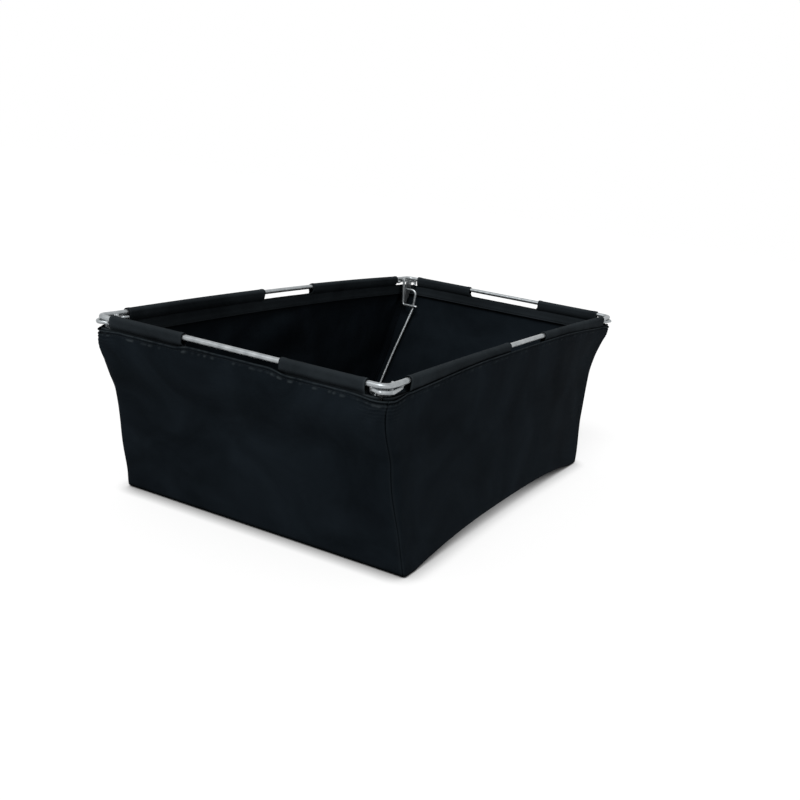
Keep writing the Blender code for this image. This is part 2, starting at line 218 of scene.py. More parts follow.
def make_camera():
    """The camera, looking as the photograph does."""
    yaw, pitch, roll = (math.radians(angle) for angle in (CAMERA_YAW, CAMERA_PITCH, CAMERA_ROLL))
    ahead = Vector((-math.sin(yaw) * math.cos(pitch), math.cos(yaw) * math.cos(pitch), -math.sin(pitch)))
    level = Vector((math.cos(yaw), math.sin(yaw), 0.0))
    above = level.cross(ahead)
    right = level * math.cos(roll) + above * math.sin(roll)
    up = above * math.cos(roll) - level * math.sin(roll)
    data = bpy.data.cameras.new("camera")
    data.lens = CAMERA_LENS
    data.sensor_width = 36.0
    camera = bpy.data.objects.new("camera", data)
    turn = Matrix((right, up, -ahead)).transposed().to_4x4()
    camera.matrix_world = Matrix.Translation(CAMERA_PLACE) @ turn
    bpy.context.scene.collection.objects.link(camera)
    bpy.context.scene.camera = camera


def new_material(name):
    """An empty node material with its shader and output."""
    surface = bpy.data.materials.new(name)
    surface.use_nodes = True
    tree = surface.node_tree
    return surface, tree.nodes, tree.links, tree.nodes["Principled BSDF"]


def add_node(nodes, kind, **values):
    """A node of this kind, with its settings and input values."""
    node = nodes.new(kind)
    for key, value in values.items():
        if key in node.inputs:
            node.inputs[key].default_value = value
        else:
            setattr(node, key, value)
    return node


def ramp(nodes, stops):
    """A colour ramp through (place, colour) stops."""
    node = nodes.new("ShaderNodeValToRGB")
    while len(node.color_ramp.elements) < len(stops):
        node.color_ramp.elements.new(0.5)
    for element, (place, colour) in zip(node.color_ramp.elements, stops):
        element.position = place
        element.color = (*colour, 1.0)
    return node


def math_node(nodes, links, operation, first, second=None):
    """A math node on sockets or numbers."""
    node = nodes.new("ShaderNodeMath")
    node.operation = operation
    for socket, value in zip(node.inputs, (first, second)):
        if value is None:
            continue
        if isinstance(value, (int, float)):
            socket.default_value = value
        else:
            links.new(value, socket)
    return node.outputs[0]


def vary_roughness(nodes, links, shader, pattern, low, high):
    """Roughness that runs from low to high with a noise pattern."""
    rough = add_node(nodes, "ShaderNodeMapRange")
    rough.inputs["To Min"].default_value = low
    rough.inputs["To Max"].default_value = high
    links.new(pattern.outputs["Fac"], rough.inputs["Value"])
    links.new(rough.outputs["Result"], shader.inputs["Roughness"])


def add_bump(nodes, links, shader, height, strength):
    """Fine bumps in the surface, a fifth of a millimetre high at most."""
    bump = add_node(nodes, "ShaderNodeBump", Strength=strength, Distance=0.0002)
    links.new(height, bump.inputs["Height"])
    links.new(bump.outputs["Normal"], shader.inputs["Normal"])


def cloth_material(name, base, painted_highlight):
    """Black coated polyester: plain weave, soft blotches, a painted highlight where it is folded over an
    edge, and painted shade in creases.
    """
    surface, nodes, links, shader = new_material(name)
    place = add_node(nodes, "ShaderNodeUVMap", uv_map="UVMap")
    split = nodes.new("ShaderNodeSeparateXYZ")
    links.new(place.outputs["UV"], split.inputs[0])
    waves = []
    for axis in ("X", "Y"):
        phase = math_node(nodes, links, "MULTIPLY", split.outputs[axis], math.pi / WEAVE_PITCH)
        waves.append(math_node(nodes, links, "SINE", phase))
    weave = math_node(nodes, links, "MULTIPLY", *waves)
    where = nodes.new("ShaderNodeTexCoord")
    blotches = add_node(
        nodes, "ShaderNodeTexNoise", Scale=11.0, Detail=5.0, Roughness=0.60, Distortion=0.6)
    slubs = add_node(nodes, "ShaderNodeTexNoise", Scale=900.0, Detail=2.0, Roughness=0.6)
    links.new(where.outputs["Object"], blotches.inputs["Vector"])
    links.new(where.outputs["Object"], slubs.inputs["Vector"])
    tint = ramp(nodes, [(0.32, [c * 0.68 for c in base]), (0.70, [c * 1.36 for c in base])])
    links.new(blotches.outputs["Fac"], tint.inputs["Fac"])
    # Painted highlight: the cloth turns towards its second, lighter colour where the point attribute is high
    highlight_layer = add_node(nodes, "ShaderNodeAttribute", attribute_name="painted_highlight")
    patchy = math_node(nodes, links, "ADD", slubs.outputs["Fac"], 0.3)
    mix = add_node(nodes, "ShaderNodeMix", data_type="RGBA")
    links.new(math_node(nodes, links, "MULTIPLY", highlight_layer.outputs["Fac"], patchy), mix.inputs["Factor"])
    links.new(tint.outputs["Color"], mix.inputs["A"])
    mix.inputs["B"].default_value = (*painted_highlight, 1.0)
    # Painted shade: ambient occlusion darkens the base colour in creases and where cloth layers lie close
    # together
    crease_shade_ao = add_node(nodes, "ShaderNodeAmbientOcclusion", Distance=CREASE_SHADE_REACH, samples=8)
    depth = ramp(nodes, [(0.34, (0.05, 0.05, 0.05)), (0.96, (1.0, 1.0, 1.0))])
    links.new(crease_shade_ao.outputs["AO"], depth.inputs["Fac"])
    shaded = add_node(nodes, "ShaderNodeMix", data_type="RGBA", blend_type="MULTIPLY")
    shaded.inputs["Factor"].default_value = 1.0
    links.new(mix.outputs["Result"], shaded.inputs["A"])
    links.new(depth.outputs["Color"], shaded.inputs["B"])
    links.new(shaded.outputs["Result"], shader.inputs["Base Color"])
    vary_roughness(nodes, links, shader, slubs, 0.62, 0.86)
    half_weave = math_node(nodes, links, "MULTIPLY", weave, 0.5)
    height = math_node(nodes, links, "ADD", half_weave, slubs.outputs["Fac"])
    add_bump(nodes, links, shader, height, 0.35)
    shader.inputs["Specular IOR Level"].default_value = CLOTH_SPECULAR
    return surface


def zinc_material(name, dark, light, roughness):
    """Zinc-plated steel: satin grey with faint cloudy patches and fine drawing marks."""
    surface, nodes, links, shader = new_material(name)
    where = nodes.new("ShaderNodeTexCoord")
    clouds = add_node(nodes, "ShaderNodeTexNoise", Scale=120.0, Detail=5.0, Roughness=0.6)
    grit = add_node(nodes, "ShaderNodeTexNoise", Scale=1400.0, Detail=3.0, Roughness=0.6)
    links.new(where.outputs["Object"], clouds.inputs["Vector"])
    links.new(where.outputs["Object"], grit.inputs["Vector"])
    tint = ramp(nodes, [(0.3, dark), (0.7, light)])
    links.new(clouds.outputs["Fac"], tint.inputs["Fac"])
    links.new(tint.outputs["Color"], shader.inputs["Base Color"])
    vary_roughness(nodes, links, shader, clouds, roughness - 0.08, roughness + 0.10)
    add_bump(nodes, links, shader, grit.outputs["Fac"], 0.25)
    shader.inputs["Metallic"].default_value = 0.85
    return surface


# Each cloth's second colour is the colour of its painted highlight
WALL_CLOTH = cloth_material("wall_cloth", (0.0046, 0.0065, 0.0085), (0.026, 0.032, 0.035))
# The band cloth is a lighter copy of the wall cloth: painted highlight for the light the sleeves catch over
# the rod
LIT_BAND_CLOTH = cloth_material("lit_band_cloth", (0.0114, 0.0142, 0.0165), (0.036, 0.042, 0.046))
THREAD = cloth_material("thread", (0.015, 0.018, 0.021), (0.04, 0.04, 0.04))
ZINC_WIRE = zinc_material("zinc_wire", (0.23, 0.25, 0.26), (0.36, 0.38, 0.39), 0.36)
ZINC_SHEET = zinc_material("zinc_sheet", (0.20, 0.215, 0.22), (0.30, 0.315, 0.33), 0.44)
WELD = zinc_material("weld", (0.14, 0.145, 0.15), (0.30, 0.315, 0.32), 0.5)


def smooth_share(value):
    """0 to 1 with level ends, for numbers or arrays."""
    value = np.clip(value, 0.0, 1.0)
    return value * value * (3.0 - 2.0 * value)


def bell(value, middle, width):
    """1 at the middle, fading evenly to 0 on both sides."""
    return np.exp(-((value - middle) / width) ** 2)


def fade(value, width):
    """1 at 0, fading away over the width."""
    return np.exp(-value / width)


def bag_half(along_x, height):
    """Half of the bag's outer size at this height, across X or along Y."""
    floor = (FLOOR_WIDTH if along_x else FLOOR_LENGTH) / 2.0
    waist = (WAIST_WIDTH if along_x else WAIST_LENGTH) / 2.0
    rim = (RIM_WIDTH if along_x else RIM_LENGTH) / 2.0
    waist_height = RING_HEIGHT - WAIST_DROP
    leaning = floor + (waist - floor) * height / waist_height
    share = smooth_share((height - waist_height) / (WAIST_DROP - SHOULDER_DROP))
    return leaning + (rim - leaning) * share


def arch(along):
    """Height of the long lower edge above the floor."""
    span = FLOOR_LENGTH / 2.0 - FOOT_STRIP
    return ARCH_HEIGHT * np.maximum(0.0, 1.0 - np.abs(along / span) ** ARCH_POWER)


def rear_right_pull(height):
    """How far the rear right corner is drawn in towards the middle of the bag."""
    rise = smooth_share(height / 0.070)
    fade = smooth_share((0.205 - height) / 0.050)
    return REAR_RIGHT_PULL * rise * fade


def seam_turn(height):
    """How far round an upright corner its seam sits, from the short side, in degrees."""
    return SEAM_TURN + SEAM_TURN_MORE * smooth_share((height - 0.06) / 0.12)


def front_left_push(height):
    """How far the front left corner stands out to the left, where the leg's foot presses in the bag."""
    push = 0.0024 + 0.0024 * bell(height, 0.137, 0.022) + 0.0034 * bell(height, 0.0, 0.018)
    return push * smooth_share((0.172 - height) / 0.030)


def corner_radius(height):
    """Radius of the bag's upright corners at this height."""
    widening = smooth_share((height - CORNER_WIDENS_FROM) / CORNER_WIDENS_OVER)
    return CORNER_RADIUS + (RIM_CORNER_RADIUS - CORNER_RADIUS) * widening


def wall_distance(side, along, height):
    """Outward distance of a wall's outer face from the middle of the box."""
    base = bag_half(side in ("left", "right"), height)
    if side == "right":
        base = base - rear_right_pull(height) * smooth_share((along - 0.10) / 0.22)
    if side == "left":
        base = base + front_left_push(height) * smooth_share((along - 0.15) / 0.12)
    return base


def wall_half_span(side, end, height):
    """Half of the bag's outer size along a side, towards its start (-1) or end (1)."""
    base = bag_half(side in SHORT_SIDES, height)
    if side == "rear" and end < 0:
        base = base - rear_right_pull(height)
    if side == "front" and end < 0:
        base = base + front_left_push(height)
    return base


def side_path(side, end, zone, share, height, turn_end):
    """Place along and across a side, its facing angle and its run: zone 0 is straight, 1 is the corner."""
    radius = corner_radius(height)
    reach = wall_half_span(side, end, height) - radius
    straight = share if zone == 0 else 1.0
    turn = np.radians(turn_end) * share * zone + np.zeros_like(height)
    along = end * (reach * straight + radius * np.sin(turn))
    distance = wall_distance(side, along, height) - radius * (1.0 - np.cos(turn))
    arc = end * (reach * straight + radius * turn)
    return along, distance, end * turn, arc


def lift_rim(points):
    """Bows the rim of the long sides up, as their rods are bowed in the middle."""
    points = np.array(points, float)
    x, y, z = points[..., 0], points[..., 1], points[..., 2]
    middle = np.clip(1.0 - (y / ROD_LIFT_HALF) ** 2, 0.0, 1.0)
    beside = smooth_share((np.abs(x) - 0.10) / 0.055)
    high = smooth_share((z - 0.06) / 0.12)
    amount = np.where(x > 0.0, ROD_LIFT["right"], ROD_LIFT["left"])
    points[..., 2] = z + amount * middle * beside * high
    return points


def ripples(places, scale, seed):
    """Smooth noise, -1 to 1, at each of the places."""
    offset = Vector((seed * 7.31, seed * 3.17, seed * 1.93))
    return np.array([noise.noise(Vector(place) * scale + offset) for place in places])


def add_object(name, data):
    """A new object with this mesh or lamp, in the scene."""
    thing = bpy.data.objects.new(name, data)
    bpy.context.scene.collection.objects.link(thing)
    return thing


def add_piece(name, mesh, surface, body):
    """A smooth visible piece with its material and the body that it rides on."""
    mesh.materials.append(surface)
    mesh.shade_smooth()
    piece = add_object(name, mesh)
    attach(piece, body)
    return piece


def tube_faces(first, rings, sides, closed=False):
    """Faces round a tube whose vertices run ring by ring from number first on."""
    faces = []
    for ring in range(rings if closed else rings - 1):
        start = first + ring * sides
        other = first + (ring + 1) % rings * sides
        for step in range(sides):
            following = (step + 1) % sides
            faces.append((start + step, start + following, other + following, other + step))
    if not closed:
        last = first + (rings - 1) * sides
        faces.append(tuple(range(first, first + sides))[::-1])
        faces.append(tuple(range(last, last + sides)))
    return faces


def grid_mesh(name, points, uv, painted_highlight, surface, flip=False):
    """A sheet of cloth through a grid of points, made thick towards the inner side."""
    rows, columns = points.shape[:2]
    index = np.arange(rows * columns).reshape(rows, columns)
    corners = [index[:-1, :-1], index[:-1, 1:], index[1:, 1:], index[1:, :-1]]
    if flip:
        corners.reverse()
    faces = np.stack([corner.ravel() for corner in corners], axis=1)
    mesh = bpy.data.meshes.new(name)
    mesh.from_pydata(points.reshape(-1, 3).tolist(), [], faces.tolist())
    layer = mesh.uv_layers.new(name="UVMap")
    flat = uv.reshape(-1, 2)[faces.ravel()]
    layer.data.foreach_set("uv", flat.astype(np.float32).ravel())
    # Painted highlight strength at each point, read by the cloth material
    highlight_layer = mesh.attributes.new("painted_highlight", "FLOAT", "POINT")
    highlight_layer.data.foreach_set("value", painted_highlight.reshape(-1).astype(np.float32))
    piece = add_piece(name, mesh, surface, "basket")
    thicken = piece.modifiers.new("thickness", "SOLIDIFY")
    thicken.thickness = CLOTH
    thicken.offset = -1.0
    thicken.use_even_offset = False
    return piece


def side_columns(side, corner_columns):
    """Grid columns along a side as (end, zone, share), from its start to its end."""
    half = (RING_WIDTH if side in SHORT_SIDES else RING_LENGTH) / 2.0
    straight = round(half / COLUMN_PITCH)
    one_way = [(0, step / straight) for step in range(1, straight + 1)]
    one_way += [(1, step / corner_columns) for step in range(1, corner_columns + 1)]
    columns = [(-1, zone, share) for zone, share in reversed(one_way)]
    return columns + [(1, 0, 0.0)] + [(1, zone, share) for zone, share in one_way]


def wall_rows():
    """Shares of the way from a wall's lower edge to its top edge, closer together near both."""
    lower = np.linspace(0.0, 0.04, 5)[:-1]
    middle = np.linspace(0.04, 0.86, 56)[:-1]
    upper = np.linspace(0.86, 1.0, 29)
    return np.concatenate((lower, middle, upper))


def wall_relief(side, spot, height, below_top, above_floor, from_end):
    """How far a wall stands out from its even shape, and how strong the painted highlight along the ridges
    at its top is.
    """
    seed = WALL_SEEDS[side]
    gathered = GATHERED[side]
    flat = np.stack((spot, height, np.zeros_like(spot)), axis=-1).reshape(-1, 3)

    def over_wall(scale, number, squeeze=1.0):
        """Noise over the wall, drawn out upwards where squeeze is below 1."""
        places = flat * np.array((1.0, squeeze, 1.0))
        return ripples(places, scale, seed + number).reshape(spot.shape)

    slanted = flat.copy()
    slanted[:, 0] = flat[:, 0] + flat[:, 1] * FOLD_SLANT
    slanted[:, 1] = flat[:, 1] * FOLD_SQUEEZE
    folds = ripples(slanted, 9.0, seed).reshape(spot.shape) + 0.34 * over_wall(26.0, 9.0)
    folds = folds * smooth_share(below_top / 0.035) * smooth_share(above_floor / 0.025)
    folds = folds * smooth_share(from_end / 0.030)
    pucker = over_wall(150.0, 20.0, 0.22)
    long_pucker = over_wall(62.0, 30.0, 0.22)
    near_seam = fade(below_top, 0.009) * smooth_share(below_top / 0.003)
    near_floor = fade(above_floor, 0.008) * smooth_share(above_floor / 0.003)
    relief = folds * FOLDS[side]
    relief = relief + pucker * near_seam * SEAM_PUCKERS * gathered
    relief = relief + long_pucker * fade(below_top, 0.020) * LONG_PUCKERS * gathered
    relief = relief + pucker * near_floor * FLOOR_PUCKERS

    # Pleats fan out from the top corners
    spread = np.hypot(from_end, below_top)
    fan = np.arctan2(below_top, from_end + 0.002)
    pleats = np.sin(11.0 * fan + seed * 2.0) * bell(spread, 0.030, 0.020)
    relief = relief + pleats * PLEATS * smooth_share(below_top / 0.006) * (0.3 + 0.7 * gathered)

    # Ridges and a groove run along the top seam, and the cloth bunches up at the corners
    uneven = over_wall(210.0, 50.0, 0.15)
    wander = over_wall(55.0, 60.0, 0.05) * EDGE_WANDER
    ridge = bell(below_top, RIDGE_DROP, 0.0008) * (0.75 + 0.9 * uneven)
    groove = bell(below_top - GROOVE_DROP, wander, 0.0007) * (0.9 - 0.6 * uneven)
    second = bell(below_top - SECOND_RIDGE_DROP, wander, 0.0011)
    second = second * np.clip(0.7 + 2.4 * uneven, 0.0, 2.0) * gathered
    bunched = np.sin(below_top / 0.0042 * 2.0 * math.pi + 2.5 * uneven + 3.0 * wander / EDGE_WANDER)
    bunched = bunched * fade(below_top, 0.011) * smooth_share((0.040 - from_end) / 0.026)
    relief = relief + ridge * RIDGE - groove * RIDGE + second * RIDGE + bunched * BUNCHES
    # Painted highlight mask: the ridge, parts of the second ridge and the bunches are made lighter
    ridge = ridge + 0.9 * second * np.clip(uneven * 2.6, 0.0, 1.0) + 0.5 * np.clip(bunched, 0.0, 1.0)
    welt = bell(from_end, 0.0012, 0.0010) * smooth_share(below_top / 0.004)
    return relief + welt * WELT, np.clip(ridge, 0.0, 1.0)


def lift_wall_top(side, points, near_corner):
    """Draws a wall's top up towards its rod, and lets it sag at the corners."""
    top = RING_HEIGHT - WALL_TOP_DROP
    if side == "right":
        near_top = smooth_share((points[..., 2] - (top - 0.045)) / 0.040)
        middle = smooth_share((0.345 - np.abs(points[..., 1])) / 0.22)
        points[..., 2] += RIGHT_WALL_LIFT * near_top * middle
        points[..., 0] += RIGHT_WALL_OUT * near_top * middle
    upper = smooth_share((points[..., 2] - (top - 0.030)) / 0.026)
    if side == "front":
        at_grip = smooth_share((0.070 - np.abs(points[..., 0])) / 0.022)
        points[..., 2] += FRONT_WALL_LIFT * upper * at_grip
    points[..., 2] -= CORNER_SAG * upper * near_corner
    return lift_rim(points)


def build_wall(side):
    """One wall of the bag: leaning, bowed, puckered under its rim and rounded to its corner seams."""
    outward, along_axis = SIDES[side]
    short_side = side in SHORT_SIDES
    columns = side_columns(side, CORNER_COLUMNS)
    shares = wall_rows()
    shape = (len(shares), len(columns))
    along, distance, lean, spot, heights, seam_spot = (np.zeros(shape) for _ in range(6))
    top = RING_HEIGHT - WALL_TOP_DROP
    for column, (end, zone, share) in enumerate(columns):
        straight = share if zone == 0 else 1.0
        lower = 0.0 if short_side else arch(end * straight * FLOOR_LENGTH / 2.0)
        height = lower + (top - lower) * shares
        heights[:, column] = height
        turn_end = seam_turn(height) if short_side else 90.0 - seam_turn(height)
        place = side_path(side, end, zone, share, height, turn_end)
        along[:, column], distance[:, column], lean[:, column], spot[:, column] = place
        seam_spot[:, column] = np.abs(side_path(side, end, 1, 1.0, height, turn_end)[3])
    from_end = seam_spot - np.abs(spot)
    below_top = top - heights
    above_floor = heights - heights[0][None, :]
    relief, ridge = wall_relief(side, spot, heights, below_top, above_floor, from_end)
    near_floor = 1.0 - np.clip(above_floor / BOTTOM_RADIUS, 0.0, 1.0)
    rounding = BOTTOM_RADIUS * (1.0 - np.sqrt(1.0 - near_floor ** 2))
    relief = np.minimum(relief, RELIEF_LIMIT) - rounding - SEAM_DIP * bell(from_end, 0.0, 0.0007)
    points = outward * distance[..., None] + along_axis * along[..., None]
    points[..., 2] = heights
    facing = np.cos(lean)[..., None] * outward + np.sin(lean)[..., None] * along_axis
    points += facing * relief[..., None]

    # The cloth goes on a little past each corner seam, turned inwards
    beside = ((0, 0), (1, 1))
    first = points[:, :1] - facing[:, :1] * SEAM_ALLOWANCE
    last = points[:, -1:] - facing[:, -1:] * SEAM_ALLOWANCE
    points = np.concatenate((first, points, last), axis=1)
    near_corner = np.pad(smooth_share((0.040 - from_end) / 0.034), beside, mode="edge")
    points = lift_wall_top(side, points, near_corner)
    uv_edges = (spot[:, :1] - SEAM_ALLOWANCE, spot, spot[:, -1:] + SEAM_ALLOWANCE)
    uv_spot = np.concatenate(uv_edges, axis=1)
    uv = np.stack((uv_spot, np.pad(heights, beside, mode="edge")), axis=-1)
    # Painted highlight along the ridges under the rim, painted bounce light along the lower edge, and
    # painted highlight beside the corner seams
    painted_highlight = 0.80 * ridge + 0.20 * fade(above_floor, 0.002) + 0.10 * bell(from_end, 0.0014, 0.001)
    painted_highlight = np.pad(np.clip(painted_highlight, 0.0, 1.0), beside, mode="constant")
    wall = grid_mesh(f"{side}_wall_cloth", points, uv, painted_highlight, WALL_CLOTH)
    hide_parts(f"{side}_panel")

    inside = points[:, 2:-2]
    above = -below_top[:, 1:-1]
    line = [
        [np.interp(-STITCH_DROP, above[:, column], inside[:, column, axis]) for axis in range(3)]
        for column in range(above.shape[1])
    ]
    build_stitches(f"{side}_top_stitches", np.array(line), facing[-1, 1:-1])


def build_stitches(name, line, facing):
    """A row of stitches along a line on the cloth; facing is the cloth's outward direction there."""
    run = np.concatenate(([0.0], np.cumsum(np.linalg.norm(np.diff(line, axis=0), axis=1))))
    count = int(run[-1] // STITCH_PITCH)
    middles = (run[-1] - (count - 1) * STITCH_PITCH) / 2.0 + np.arange(count) * STITCH_PITCH

    def at(where, values):
        """The values at this length along the line."""
        return Vector([np.interp(where, run, values[:, axis]) for axis in range(3)])

    # Places along a stitch, as shares of its length, with the thread's size and how deep it sinks
    bead = ((-0.5, 0.55, 0.6), (-0.32, 1.0, 0.1), (0.0, 1.1, 0.0), (0.32, 1.0, 0.1), (0.5, 0.55, 0.6))
    vertices = []
    faces = []
    for middle in middles:
        spot = at(middle, line)
        along = (at(middle + 0.001, line) - at(middle - 0.001, line)).normalized()
        out = at(middle, facing)
        out = (out - along * out.dot(along)).normalized()
        across = along.cross(out)
        faces += tube_faces(len(vertices), len(bead), STITCH_SIDES)
        for offset, size, sink in bead:
            centre = spot + along * offset * STITCH_LENGTH + out * STITCH_THREAD * (STITCH_LIFT - sink)
            for step in range(STITCH_SIDES):
                angle = 2.0 * math.pi * step / STITCH_SIDES
                way = out * math.sin(angle) + across * math.cos(angle)
                vertices.append(tuple(centre + way * STITCH_THREAD * size))
    mesh = bpy.data.meshes.new(name)
    mesh.from_pydata(vertices, [], faces)
    add_piece(name, mesh, THREAD, "basket")


def band_section(tuck):
    """Section of a rim band as (depth inside the wall's outer face, drop below the ring): up, over, down."""
    rim_depth = RING_WIRE / 2.0 + SLEEVE_ROOM
    points = [
        (0.0012, BAND_LAP_DROP),
        (0.0013, (BAND_LAP_DROP + SEAM_DROP) / 2.0),
        (0.0013 + 0.0005 * tuck, SEAM_DROP + 0.0004),
        (0.0012 + 0.0017 * tuck, SEAM_DROP - 0.0014),
        (0.0008 + 0.0013 * tuck, SEAM_DROP - 0.0036),
        (0.0005 + 0.0002 * tuck, 0.0052),
    ]
    for step in range(11):
        angle = math.radians(-12.0 + 204.0 * step / 10.0)
        points.append((rim_depth - SLEEVE_RADIUS * math.cos(angle), -SLEEVE_RADIUS * math.sin(angle)))
    points += [
        (0.0084, 0.0052),
        (0.0066, SEAM_DROP - 0.0024),
        (0.0050, SEAM_DROP - 0.0004),
        (0.0052, SEAM_DROP + 0.0022),
        (0.0049, (SEAM_DROP + BAND_DROP) / 2.0),
        (0.0052, BAND_DROP - 0.0030),
        (0.0055, BAND_DROP - 0.0008),
        (0.0052, BAND_DROP),
    ]
    return np.array(points)


def smooth_path(points, steps):
    """A Catmull-Rom curve through the points, with this many steps between each pair."""
    points = np.asarray(points, float)
    padded = np.vstack((2 * points[0] - points[1], points, 2 * points[-1] - points[-2]))
    out = []
    for index in range(1, len(padded) - 2):
        before, start, finish, after = padded[index - 1:index + 3]
        for step in range(steps):
            t = step / steps
            square = 2 * before - 5 * start + 4 * finish - after
            cube = 3 * start - before - 3 * finish + after
            out.append(0.5 * (2 * start + (finish - before) * t + square * t * t + cube * t ** 3))
    out.append(points[-1])
    return np.array(out)


def side_sizes(side):
    """A side's rod distance from the middle, half of its length, and where its sleeves end."""
    if side in SHORT_SIDES:
        return RING_LENGTH / 2.0, RING_WIDTH / 2.0, SLEEVE_END_SHORT_SIDE
    return RING_WIDTH / 2.0, RING_LENGTH / 2.0, SLEEVE_END_LONG_SIDE


def band_cutter(side):
    """Takes away the hand hold and both corners from a rim band."""
    outward, along_axis = SIDES[side]
    rod, half_length, sleeve_end = side_sizes(side)
    over = 0.020
    half = GRIP_LENGTH / 2.0
    grip = [(-half, over)]
    for centre, start in ((-half + GRIP_ROUND, 180.0), (half - GRIP_ROUND, 270.0)):
        for step in range(9):
            angle = math.radians(start + 90.0 * step / 8.0)
            drop = -GRIP_DROP + GRIP_ROUND + GRIP_ROUND * math.sin(angle)
            grip.append((centre + GRIP_ROUND * math.cos(angle), drop))
    grip.append((half, over))
    outlines = [grip]
    for end in (-1.0, 1.0):
        low, high = sorted((end * (half_length - sleeve_end), end * (half_length + over)))
        outlines.append([(low, over), (low, -CORNER_DROP), (high, -CORNER_DROP), (high, over)])
    vertices = []
    faces = []
    for outline in outlines:
        first = len(vertices)
        count = len(outline)
        for depth in (-over, over):
            for along, rise in outline:
                place = outward * (rod + depth) + along_axis * along
                vertices.append((place[0], place[1], RING_HEIGHT + rise))
        faces.append([first + i for i in range(count)][::-1])
        faces.append([first + count + i for i in range(count)])
        for i in range(count):
            j = (i + 1) % count
            faces.append([first + i, first + j, first + count + j, first + count + i])
    mesh = bpy.data.meshes.new(f"{side}_band_cutter")
    mesh.from_pydata(vertices, [], faces)
    return add_object(f"{side}_band_cutter", mesh)


def apply_modifiers(piece):
    """Bakes a piece's modifiers into its mesh."""
    bpy.context.view_layer.update()
    graph = bpy.context.evaluated_depsgraph_get()
    mesh = bpy.data.meshes.new_from_object(
        piece.evaluated_get(graph), preserve_all_data_layers=True, depsgraph=graph)
    piece.modifiers.clear()
    piece.data = mesh


def build_band(side):
    """The strip sewn inside a wall's top: sleeves round the ring, the hand hold between, a turned hem."""
    outward, along_axis = SIDES[side]
    _, half_length, sleeve_end = side_sizes(side)
    fine = smooth_path(band_section(SLEEVE_TUCK[side]), 3)
    depth = fine[:, 0]
    drops = fine[:, 1]
    heights = RING_HEIGHT - drops
    columns = side_columns(side, BAND_CORNER_COLUMNS)
    shape = (len(fine), len(columns))
    along, distance, lean, spot = (np.zeros(shape) for _ in range(4))
    turn_end = BAND_TURN if side in SHORT_SIDES else 80.0 - BAND_TURN
    for column, (end, zone, share) in enumerate(columns):
        place = side_path(side, end, zone, share, heights, turn_end)
        along[:, column], distance[:, column], lean[:, column], spot[:, column] = place
    lengths = np.concatenate(([0.0], np.cumsum(np.hypot(np.diff(depth), np.diff(drops)))))
    run, drop_grid, depth_grid = (
        np.repeat(values[:, None], shape[1], axis=1) for values in (lengths, drops, depth))
    flat = np.stack((spot, run, np.zeros(shape)), axis=-1).reshape(-1, 3)
    seed = BAND_SEEDS[side]
    wobble = ripples(flat * np.array((1.0, 0.6, 1.0)), 45.0, seed).reshape(shape)
    pucker = ripples(flat * np.array((1.0, 0.25, 1.0)), 170.0, seed + 5.0).reshape(shape)
    crest = np.argmin(drops)
    inner = (np.arange(len(fine)) > crest)[:, None]
    above_seam = smooth_share((SEAM_DROP - drop_grid) / 0.003)
    sleeve_part = smooth_share((drop_grid - 0.0005) / 0.003) * above_seam
    below_seam = smooth_share((drop_grid - SEAM_DROP) / 0.003) * inner
    inward_sign = np.where(inner, 1.0, -1.0)
    relief = inward_sign * sleeve_part * (0.00030 * wobble + 0.00016 * pucker)
    relief += inward_sign * fade(np.abs(drop_grid - SEAM_DROP), 0.003) * 0.00028 * pucker
    relief += below_seam * (0.00025 * wobble + 0.00018 * pucker * fade(BAND_DROP - drop_grid, 0.006))

    # The sleeves' ends are turned over, which makes a cuff a little thicker than the rest
    to_grip = np.abs(along) - GRIP_LENGTH / 2.0
    to_corner = half_length - sleeve_end - np.abs(along)
    cuff = np.minimum(to_grip, to_corner)
    turned = smooth_share(cuff / 0.0006) * (1.0 - smooth_share((cuff - 0.0055) / 0.0008))
    lift = np.where(drop_grid < SEAM_DROP - 0.001, turned * 0.00035, 0.0)
    out = RING_WIRE / 2.0 + SLEEVE_ROOM - depth_grid
    low = np.minimum(drop_grid, 0.0)
    size = np.hypot(out, low) + 1e-9
    away = distance - depth_grid * np.cos(lean) - relief + lift * out / size
    along = along - depth_grid * np.sin(lean)
    points = outward * away[..., None] + along_axis * along[..., None]
    points[..., 2] = RING_HEIGHT - drop_grid - lift * low / size
    uv = np.stack((spot, run), axis=-1)
    # Painted highlight along the hem, over the top of the sleeves and at the cuff ends
    hem = bell(BAND_DROP, drop_grid, 0.0012) * inner
    top_highlight = bell(drop_grid, -SLEEVE_RADIUS, 0.0022)
    ends = bell(np.clip(cuff, 0.0, 1.0), 0.0, 0.0012) * (drop_grid < SEAM_DROP)
    painted_highlight = np.clip(0.25 * hem + 0.25 * top_highlight + 0.5 * ends, 0.0, 1.0)
    band = grid_mesh(f"{side}_rim_band", points, uv, painted_highlight, LIT_BAND_CLOTH)
    cutter = band_cutter(side)
    cut = band.modifiers.new("cut", "BOOLEAN")
    cut.operation = "DIFFERENCE"
    cut.solver = "EXACT"
    cut.object = cutter
    apply_modifiers(band)
    bpy.data.objects.remove(cutter, do_unlink=True)
    flat_points = np.zeros(len(band.data.vertices) * 3)
    band.data.vertices.foreach_get("co", flat_points)
    band.data.vertices.foreach_set("co", lift_rim(flat_points.reshape(-1, 3)).ravel())
    band.data.update()
    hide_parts(f"{side}_band", *[f"{side}_sleeve_{place}" for place in SLEEVE_PLACES[side]])
    off_hem = np.abs(drops - (BAND_DROP - 0.0032)) + (np.arange(len(fine)) <= crest)
    row = int(np.argmin(off_hem))
    facing = np.cos(lean[row])[:, None] * outward + np.sin(lean[row])[:, None] * along_axis
    line = lift_rim(points[row]) - facing * CLOTH
    build_stitches(f"{side}_hem_stitches", line[1:-1], -facing[1:-1])


